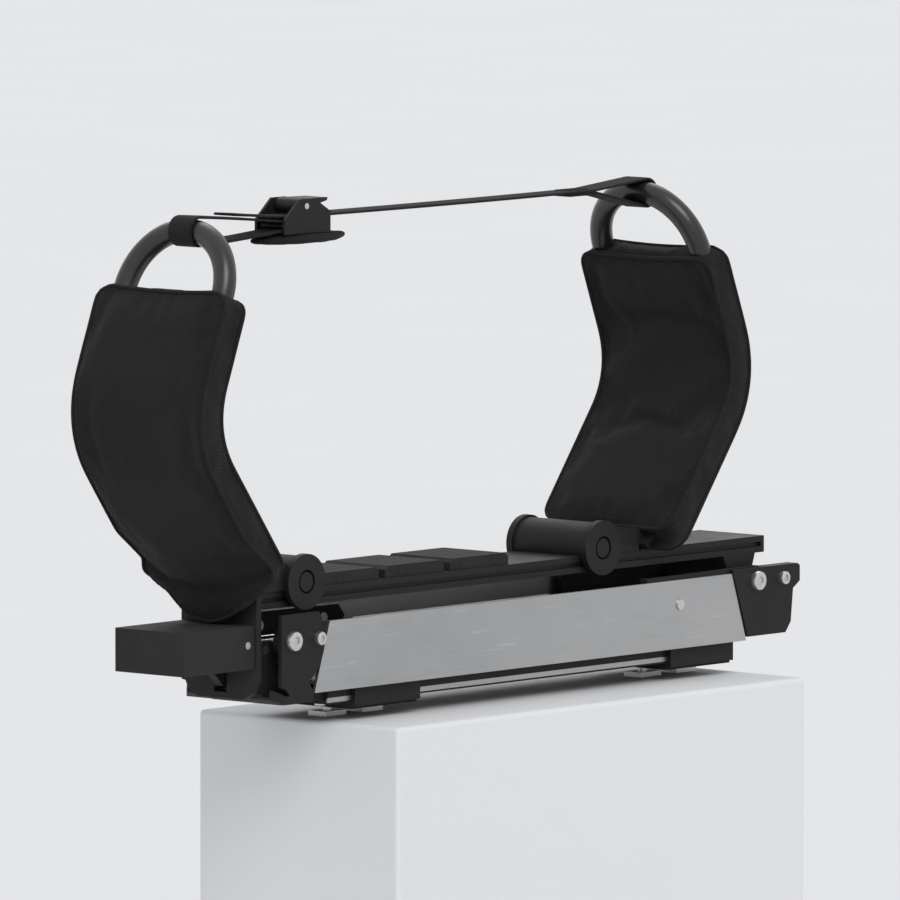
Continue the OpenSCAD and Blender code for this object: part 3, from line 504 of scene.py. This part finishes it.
def pad_shell(line, cols, flap_z, sag):
    """A closed boxed pad over a line: two faces joined by a side strip. Its outer face hangs down to flap_z,
    where the edge rises by sag from the middle to the sides.
    Returns vertices, faces, UVs, the two seam loops and the two loops beside them."""
    rows = len(line)
    strip = 3
    half_width = PAD_HALF - PAD_SLACK
    inner = [spot + normal * PAD_CORE for spot, normal in line]
    outer = [spot - normal * PAD_CORE for spot, normal in line]
    outer.insert(0, v2(outer[0].x, flap_z))

    taper_top = CORE_FOOT.y + 1.5 * PAD_TAPER
    # The hem's rise fades out over a little more than twice its height
    fade_top = flap_z + 2.3 * sag + 0.001

    def hem(across, z):
        """The lift of the outer face, at a fraction of its half width and a height."""
        fade = min(max((fade_top - z) / (fade_top - flap_z), 0.0), 1.0)
        return sag * across ** 2 * fade

    def half_at(spot, run, total, lift):
        """The half width at a point: narrower towards the hem, and rounded off at the corners."""
        low = (taper_top - spot.y - lift) / (taper_top - flap_z - sag) if sag else 0.0
        width = half_width - PAD_TAPER * min(max(low, 0.0), 1.0)
        for gap in (run, total - run):
            if gap < PAD_CORNER:
                width -= PAD_CORNER - math.sqrt(PAD_CORNER ** 2 - (PAD_CORNER - gap) ** 2)
        return width

    verts, uvs = [], []
    for side in (inner, outer):
        places, total = even(side, rows)
        for spot, run in places:
            half = half_at(spot, run, total, hem(1.0, spot.y) if side is outer else 0.0)
            for j in range(cols):
                across = 2 * j / (cols - 1) - 1
                lift = hem(across, spot.y) if side is outer else 0.0
                verts.append(Vector((spot.x, across * half, spot.y + lift)))
                uvs.append((across * half, run))
    size = rows * cols
    faces = grid_faces(rows, cols) + grid_faces(rows, cols, start=size, flip=True)
    rim = rim_loop(rows, cols)
    count = len(rim)
    walls = len(verts)
    # Over the first rows the strip steps round the plate's foot and down the back of the flap
    foot, normal = line[0]
    back = [foot - normal * PLATE_BACK, v2(FLAP_X, CORE_FOOT.y - FOOT_DROP), v2(FLAP_X, flap_z + 0.0005)]
    turned = 3
    for k in range(1, strip + 1):
        part = k / (strip + 1)
        for index in rim:
            a, b = verts[index], verts[index + size]
            spot = a.lerp(b, part)
            row = index // cols
            if row < turned:
                step = back[k - 1]
                across = 2 * (index % cols) / (cols - 1) - 1
                edge = flap_z + hem(across, flap_z) + (strip - k) * 0.002 if sag else step.y
                spot = Vector((step.x, spot.y, max(step.y, edge))).lerp(spot, row / turned)
            verts.append(spot)
            uvs.append((uvs[index][0] + part * 0.02, uvs[index][1]))
    rings = [rim] + [[walls + k * count + i for i in range(count)] for k in range(strip)]
    rings.append([index + size for index in rim])
    for upper, lower in zip(rings, rings[1:]):
        for i in range(count):
            j = (i + 1) % count
            faces.append((upper[j], upper[i], lower[i], lower[j]))
    near = rim_loop(rows, cols, 1)
    return verts, faces, uvs, rings[0], rings[-1], near, [i + size for i in near]


def inflate(obj, pinned, pressure, most, grow=-0.03):
    """Swells a closed cover as cloth held at its seams, and keeps each point within most of where it was."""
    mesh = obj.data
    group = obj.vertex_groups.new(name="seams")
    group.add(list(pinned), 1.0, "REPLACE")
    before = [v.co.copy() for v in mesh.vertices]
    cloth = obj.modifiers.new("cover", "CLOTH")
    facts = cloth.settings
    facts.quality = 6
    facts.mass = 0.25
    facts.tension_stiffness = facts.compression_stiffness = 18
    facts.shear_stiffness = 8
    facts.bending_stiffness = 0.6
    facts.vertex_group_mass = "seams"
    facts.use_pressure = True
    facts.uniform_pressure_force = pressure
    facts.shrink_min = grow
    facts.effector_weights.gravity = 0
    cloth.collision_settings.use_collision = False
    scene = bpy.context.scene
    for step in range(1, 21):
        scene.frame_set(step)
    shaped = obj.evaluated_get(bpy.context.evaluated_depsgraph_get()).to_mesh()
    after = [v.co.copy() for v in shaped.vertices]
    obj.modifiers.remove(cloth)
    scene.frame_set(1)
    for vertex, old, new in zip(mesh.vertices, before, after):
        move = new - old
        if move.length > most:
            move *= most / move.length
        vertex.co = old + move
    mesh.update()


def crease(mesh, *loops):
    """Keeps the edges along closed loops of vertices in place when the mesh is subdivided."""
    pairs = {frozenset(pair) for loop in loops for pair in zip(loop, loop[1:] + loop[:1])}
    values = mesh.attributes.new("crease_edge", "FLOAT", "EDGE").data
    for edge, value in zip(mesh.edges, values):
        value.value = 0.85 if frozenset(edge.vertices) in pairs else 0.0


def stitches(loop, step, length, radius, lift):
    """Short thread ends along a closed loop of (point, outward) pairs."""
    parts = []
    run = 0.0
    for i, (point, out) in enumerate(loop):
        after = loop[(i + 1) % len(loop)][0]
        gap = (after - point).length
        run += gap
        if run < step:
            continue
        run = 0.0
        along = (after - point).normalized()
        spot = point + out * lift
        ends = [spot - along * length / 2, spot, spot + along * length / 2]
        ends[0] -= out * radius
        ends[2] -= out * radius
        parts.append(tube(ends, radius, 6, closed=False))
    return merged(parts)


def resample(points, step):
    """A closed loop of points at an even step."""
    out = []
    carry = 0.0
    for a, b in zip(points, points[1:] + points[:1]):
        gap = (b - a).length
        while carry < gap:
            out.append(a.lerp(b, carry / gap))
            carry += step
        carry -= gap
    return out


SEWING = woven("sewing_thread", 0.022, 0.0008, fuzz=0.1)


def padded_arm(side, suffix, flap_z, sag=0.0):
    """The sewn pad of one arm with its piping and stitches: side is 1 outboard and -1 inboard."""
    rows, cols = 54, 27
    size = rows * cols
    verts, faces, uvs, seam_a, seam_b, near_a, near_b = pad_shell(arm_line(rows), cols, flap_z, sag)
    # The top edge dips a little between the loop's legs, over the last rows of both faces
    dipped = 4
    for i in (*range(size - dipped * cols, size), *range(2 * size - dipped * cols, 2 * size)):
        row = (i % size) // cols
        share = (row - (rows - 1 - dipped)) / dipped
        dip = 0.004 * share * (1 - (verts[i].y / PAD_HALF) ** 2)
        verts[i] -= Vector((TOP.x, 0, TOP.y)) * dip
    if side < 0:
        verts = mirrored(verts)
        faces = [face[::-1] for face in faces]
    pad = mesh_piece("pad_" + suffix, (verts, faces, uvs), LOOKS["pad_cover"], "cradle")
    inflate(pad, [*seam_a, *seam_b], pressure=4.5, most=0.0065)
    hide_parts("arm_pad_" + suffix)
    crease(pad.data, seam_a, seam_b)
    smooth = pad.modifiers.new("smooth", "SUBSURF")
    smooth.levels = smooth.render_levels = 1
    # The smoothed mesh starts with the same points, so the seams and stitches lie on its surface
    shaped = pad.evaluated_get(bpy.context.evaluated_depsgraph_get()).to_mesh()
    points = [v.co.copy() for v in shaped.vertices]
    normals = [v.normal.copy() for v in shaped.vertices]
    cords = []
    for seam in (seam_a, seam_b):
        loop = resample([points[i] + normals[i] * 0.0006 for i in seam], step=0.003)
        cords.append(tube(loop, radius=0.0016, sides=8))
    cord = mesh_piece("piping_" + suffix, merged(cords), LOOKS["webbing"], "cradle")
    rows_of = []
    for loop in (near_a, near_b):
        beds = [(points[i], normals[i]) for i in loop]
        rows_of.append(stitches(beds, step=0.0045, length=0.0028, radius=0.00035, lift=0.0004))
    thread = mesh_piece("thread_" + suffix, merged(rows_of), SEWING, "cradle")


padded_arm(1, "outboard", FLAP_Z, FLAP_SAG)
padded_arm(-1, "inboard", INBOARD_Z)


def ribbon(path):
    """The strap's webbing along a side-view path, with rounded edges: vertices, faces, and UVs in metres."""
    half, rise = WEB_W / 2, WEB_T / 2
    ring = [(-half, 0.0), (-half + rise * 0.3, rise * 0.75), (-half + rise, rise)]
    ring += [(half * k / 5, rise) for k in range(-4, 5)]
    ring += [(half - rise, rise), (half - rise * 0.3, rise * 0.75), (half, 0.0)]
    ring += [(y, -z) for y, z in ring[-2:0:-1]]
    verts, uvs = [], []
    run = 0.0
    for i, spot in enumerate(path):
        a, b = path[max(i - 1, 0)], path[min(i + 1, len(path) - 1)]
        along = (b - a).normalized()
        out = v2(-along.y, along.x)
        for y, z in ring:
            place = spot + out * z
            verts.append(Vector((place.x, y, place.y)))
            uvs.append((y + (0.05 if z < 0 else 0.0), run))
        run += (b - spot).length
    count = len(ring)
    faces = grid_faces(len(path), count, wrap_cols=True)
    faces += [tuple(range(count))[::-1], tuple(range((len(path) - 1) * count, len(path) * count))]
    return verts, faces, uvs


def arc(centre, radius, start, end, count):
    """Side-view points round a centre, by angle in degrees from +X towards +Z."""
    out = []
    for i in range(count):
        turn = math.radians(start + (end - start) * i / (count - 1))
        out.append(centre + v2(math.cos(turn), math.sin(turn)) * radius)
    return out


def run_between(a, b, count, sag=0.0):
    """Points after a and before b, sagging by sag in the middle."""
    out = []
    for i in range(1, count):
        t = i / count
        spot = a.lerp(b, t)
        out.append(spot - v2(0, sag * 4 * t * (1 - t)))
    return out


def strap_pieces():
    """The short strap to the buckle, the long one from the other loop, and the box of stitches on it."""
    web = LOOKS["webbing"]
    band = LOOP_TUBE + BAND_GAP + WEB_T / 2
    bar = BAR_BEND + WEB_T / 2
    tilt = math.degrees(math.atan2(BAR_C.y - BAND_C.y, BAR_C.x - BAND_C.x))
    lean = math.degrees(math.asin((band - bar) / (BAR_C - BAND_C).length))
    round_loop = arc(BAND_C, band, tilt + 90 - lean, tilt + 270 + lean, 25)
    round_bar = arc(BAR_C, bar, tilt - 90 + lean, tilt + 90 - lean, 11)
    path = round_loop + run_between(round_loop[-1], round_bar[0], 14, 0.0006) + round_bar
    path += run_between(round_bar[-1], round_loop[0], 14, -0.0004) + [round_loop[0]]
    strap = mesh_piece("strap_short", ribbon(path), web, "cradle")
    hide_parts("strap_outboard")

    far = v2(CROWN_IN.x, BAND_C.y)
    over = arc(far, band, 97, -90, 25)
    rises = ((0.060, 0.0058), (0.040, 0.0042), (0.020, 0.0022))
    tail = [v2(BAR_C.x - reach, WEB_Z + rise) for reach, rise in rises]
    start = [v2(BAR_C.x, WEB_Z + 0.0006), v2(BUCKLE_X, WEB_Z)]
    join = v2(JOIN_X, WEB_Z)
    path = tail + start + run_between(start[-1], join, 24, 0.0006) + [join]
    path += run_between(join, over[0], 8) + over
    under = v2(JOIN_X + 0.006, WEB_Z - WEB_T - 0.0001)
    path += run_between(over[-1], under, 8) + [under, v2(JOIN_X - 0.030, WEB_Z - WEB_T - 0.0001)]
    strap = mesh_piece("strap_long", ribbon(path), web, "cradle")
    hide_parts("strap_main")

    # The box of stitches where the long strap is sewn to itself
    box = []
    x0, x1, y1 = JOIN_X - 0.027, JOIN_X - 0.003, WEB_W / 2 - 0.004
    corners = [Vector((x0, -y1, 0)), Vector((x1, -y1, 0)), Vector((x1, y1, 0)), Vector((x0, y1, 0))]
    lines = [*zip(corners, corners[1:] + corners[:1]), (corners[0], corners[2]), (corners[1], corners[3])]
    for level, way in ((WEB_Z + WEB_T / 2, 1), (WEB_Z - WEB_T * 1.5 - 0.0001, -1)):
        for a, b in lines:
            count = int((b - a).length / 0.0026)
            for k in range(count):
                p, q = a.lerp(b, (k + 0.15) / count), a.lerp(b, (k + 0.85) / count)
                top = p.lerp(q, 0.5)
                p.z = q.z = level
                top.z = level + way * 0.0004
                box.append(tube([p, top, q], radius=0.0003, sides=6, closed=False))
    thread = mesh_piece("strap_stitches", merged(box), SEWING, "cradle")


strap_pieces()


def buckle_cushion():
    """The lens-shaped pad under the buckle: a sewn soft pad with a piped edge."""
    length, width, thick = BUCKLE_PAD
    radius = ((length / 2) ** 2 + (width / 2) ** 2) / width
    rows, cols = 31, 13
    middle = v2(BUCKLE_X + 0.004, BUCKLE_PAD_TOP - thick / 2)
    verts, uvs = [], []
    for side in (1, -1):
        for i in range(rows):
            x = (i / (rows - 1) - 0.5) * (length - 0.004)
            half = math.sqrt(radius ** 2 - x ** 2) - (radius - width / 2)
            for j in range(cols):
                y = (2 * j / (cols - 1) - 1) * max(half - 0.001, 0.002)
                verts.append(Vector((middle.x + x, y, middle.y + side * thick * 0.27)))
                uvs.append((y, x))
    size = rows * cols
    faces = grid_faces(rows, cols, flip=True) + grid_faces(rows, cols, start=size)
    rim = rim_loop(rows, cols)
    for k, index in enumerate(rim):
        after = rim[(k + 1) % len(rim)]
        faces.append((index, after, after + size, index + size))
    pad = mesh_piece("buckle_cushion", (verts, faces, uvs), LOOKS["pad_cover"], "cradle")
    pinned = set(rim) | {i + size for i in rim}
    inflate(pad, pinned, pressure=6.0, most=0.0018, grow=-0.01)
    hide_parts("buckle_pad")
    smooth = pad.modifiers.new("smooth", "SUBSURF")
    smooth.levels = smooth.render_levels = 1
    loop = resample([Vector((verts[i].x, verts[i].y, middle.y)) for i in rim], step=0.0025)
    cord = mesh_piece("buckle_piping", tube(loop, radius=0.0021, sides=8), LOOKS["webbing"], "cradle")


buckle_cushion()


def screw_head(centre, way, radius, socket):
    """A turned head on a face that looks along way (+1 or -1 in Y), with a hex socket."""
    sides = 24
    dome = 0.35
    height = HEAD_UP
    rings = [(radius, 0.0), (radius, height * (1 - dome) * 0.8), (radius * 0.93, height * (1 - dome * 0.35)),
             (radius * 0.80, height * 0.97), (radius * 0.72, height)]
    verts, uvs = [], []

    def ring(points, level):
        for x, z in points:
            verts.append(Vector((centre[0] + x, centre[1] + way * level, centre[2] + z)))
            uvs.append((x, z))

    turns = [2 * math.pi * k / sides for k in range(sides)]

    def circle(r):
        return [(r * math.cos(turn), r * math.sin(turn)) for turn in turns]

    def hexagon(r):
        out = []
        for turn in turns:
            part = (turn + math.pi / 6) % (math.pi / 3) - math.pi / 6
            reach = r * math.cos(math.pi / 6) / math.cos(part)
            out.append((reach * math.cos(turn), reach * math.sin(turn)))
        return out

    hollow = ((socket * 1.08, height), (socket, height - 0.0003), (socket * 0.97, SOCKET_BED))
    for r, level in rings:
        ring(circle(r), level)
    for r, level in hollow:
        ring(hexagon(r), level)
    count = len(rings) + len(hollow)
    verts.append(Vector((centre[0], centre[1] + way * SOCKET_BED, centre[2])))
    uvs.append((0.0, 0.0))
    faces = grid_faces(count, sides, wrap_cols=True, flip=way < 0)
    last = (count - 1) * sides
    for k in range(sides):
        face = (last + k, last + (k + 1) % sides, len(verts) - 1)
        faces.append(face[::-1] if way < 0 else face)
    return verts, faces, uvs


def heads(name, x, z, radius, socket, body):
    """Detailed heads over the plain CAD heads at x, z on both sides."""
    parts = [screw_head((x, way * HEAD_Y, z), way, radius, socket) for way in (1, -1)]
    piece = mesh_piece(name, merged(parts), LOOKS["steel"], body)
    piece.data.set_sharp_from_angle(angle=math.radians(32))


heads("lift_pin_heads", *LIFT_PIN, *PIN_HEAD, "base")
heads("stop_heads", *STOP_SCREW, *SCREW_HEAD, "base")
heads("cradle_pin_heads", *CRADLE_PIN, *PIN_HEAD, "lift_arm")
heads("knuckle_heads", *KNUCKLE_SCREW, *SCREW_HEAD, "lift_arm")


# A long lens from the outboard side, a little above the part
scene = bpy.context.scene
camera_data = bpy.data.cameras.new("camera")
camera_data.lens = 620.0
camera_data.sensor_width = 36.0
camera_data.clip_end = 200.0
camera = bpy.data.objects.new("camera", camera_data)
camera.location = (-9.79, -8.42, 1.38)
aim = Vector((-0.07, 0.0, 0.20)) - camera.location
camera.rotation_euler = aim.to_track_quat("-Z", "Y").to_euler()
scene.collection.objects.link(camera)
scene.camera = camera


def plain(name, shade):
    """Pale paper-like surface, with a trace of tooth."""
    look = Look(name, roughness=0.9, Specular_IOR_Level=0.2)
    colour = look.mix(look.span(look.noise(3.0, 4.0), 0.3, 0.7), grey(shade * 0.985), grey(shade))
    return look.finish(colour, None, look.noise(260.0), 0.00005)


# The plinth's top lies just under the lowest solid
plinth_z = cad_box[0][2] - 0.0004
floor_z = -0.310
floor_half = 40


def stage_box(name, low, high, look, round_by=0.0):
    """A box of the stage between two corners, with its edges rounded where a width is given."""
    x0, y0, z0 = low
    x1, y1, z1 = high
    verts = [(x, y, z) for z in (z0, z1) for y in (y0, y1) for x in (x0, x1)]
    faces = [(0, 2, 3, 1), (4, 5, 7, 6), (0, 1, 5, 4), (1, 3, 7, 5), (3, 2, 6, 7), (2, 0, 4, 6)]
    mesh = bpy.data.meshes.new(name)
    mesh.from_pydata(verts, [], faces)
    mesh.materials.append(look)
    obj = bpy.data.objects.new(name, mesh)
    scene.collection.objects.link(obj)
    if round_by:
        bevel = obj.modifiers.new("edge", "BEVEL")
        bevel.width = round_by
        bevel.segments = 4


pale = plain("pale_floor", 0.80)
stage_box("floor", (-floor_half, -floor_half, floor_z - 0.1), (floor_half, floor_half, floor_z), pale)
stage_box("plinth", (-0.262, -0.11, floor_z - 0.05), (0.262, 0.11, plinth_z), pale, 0.004)

# Camera, glossy and transmission rays meet an even pale grey; the rest is a weaker, cooler fill
world = bpy.data.worlds.new("world")
scene.world = world
world.use_nodes = True
tree = world.node_tree
back = tree.nodes["Background"]
back.inputs["Color"].default_value = (0.94, 0.96, 1.0, 1.0)
back.inputs["Strength"].default_value = 0.60
seen = tree.nodes.new("ShaderNodeBackground")
seen.inputs["Color"].default_value = (0.85, 0.86, 0.87, 1.0)
seen.inputs["Strength"].default_value = 1.0
rays = tree.nodes.new("ShaderNodeLightPath")
sees = rays.outputs["Is Camera Ray"]
for ray in ("Is Glossy Ray", "Is Transmission Ray"):
    either = tree.nodes.new("ShaderNodeMath")
    either.operation = "MAXIMUM"
    tree.links.new(sees, either.inputs[0])
    tree.links.new(rays.outputs[ray], either.inputs[1])
    sees = either.outputs[0]
pick = tree.nodes.new("ShaderNodeMixShader")
tree.links.new(sees, pick.inputs["Fac"])
tree.links.new(back.outputs[0], pick.inputs[1])
tree.links.new(seen.outputs[0], pick.inputs[2])
tree.links.new(pick.outputs[0], tree.nodes["World Output"].inputs["Surface"])


def sun(name, towards, strength, spread):
    """A broad, even lamp: light that comes from the direction given and doesn't fall off over the floor."""
    data = bpy.data.lights.new(name, "SUN")
    data.energy = strength
    data.angle = math.radians(spread)
    obj = bpy.data.objects.new(name, data)
    obj.location = Vector(towards)
    obj.rotation_euler = (-Vector(towards)).to_track_quat("-Z", "Y").to_euler()
    scene.collection.objects.link(obj)


sun("key", (-2.4, -4.4, 5.0), 1.25, 35)
sun("rim", (3.0, 3.5, 4.2), 0.55, 40)

scene.view_settings.view_transform = "Standard"
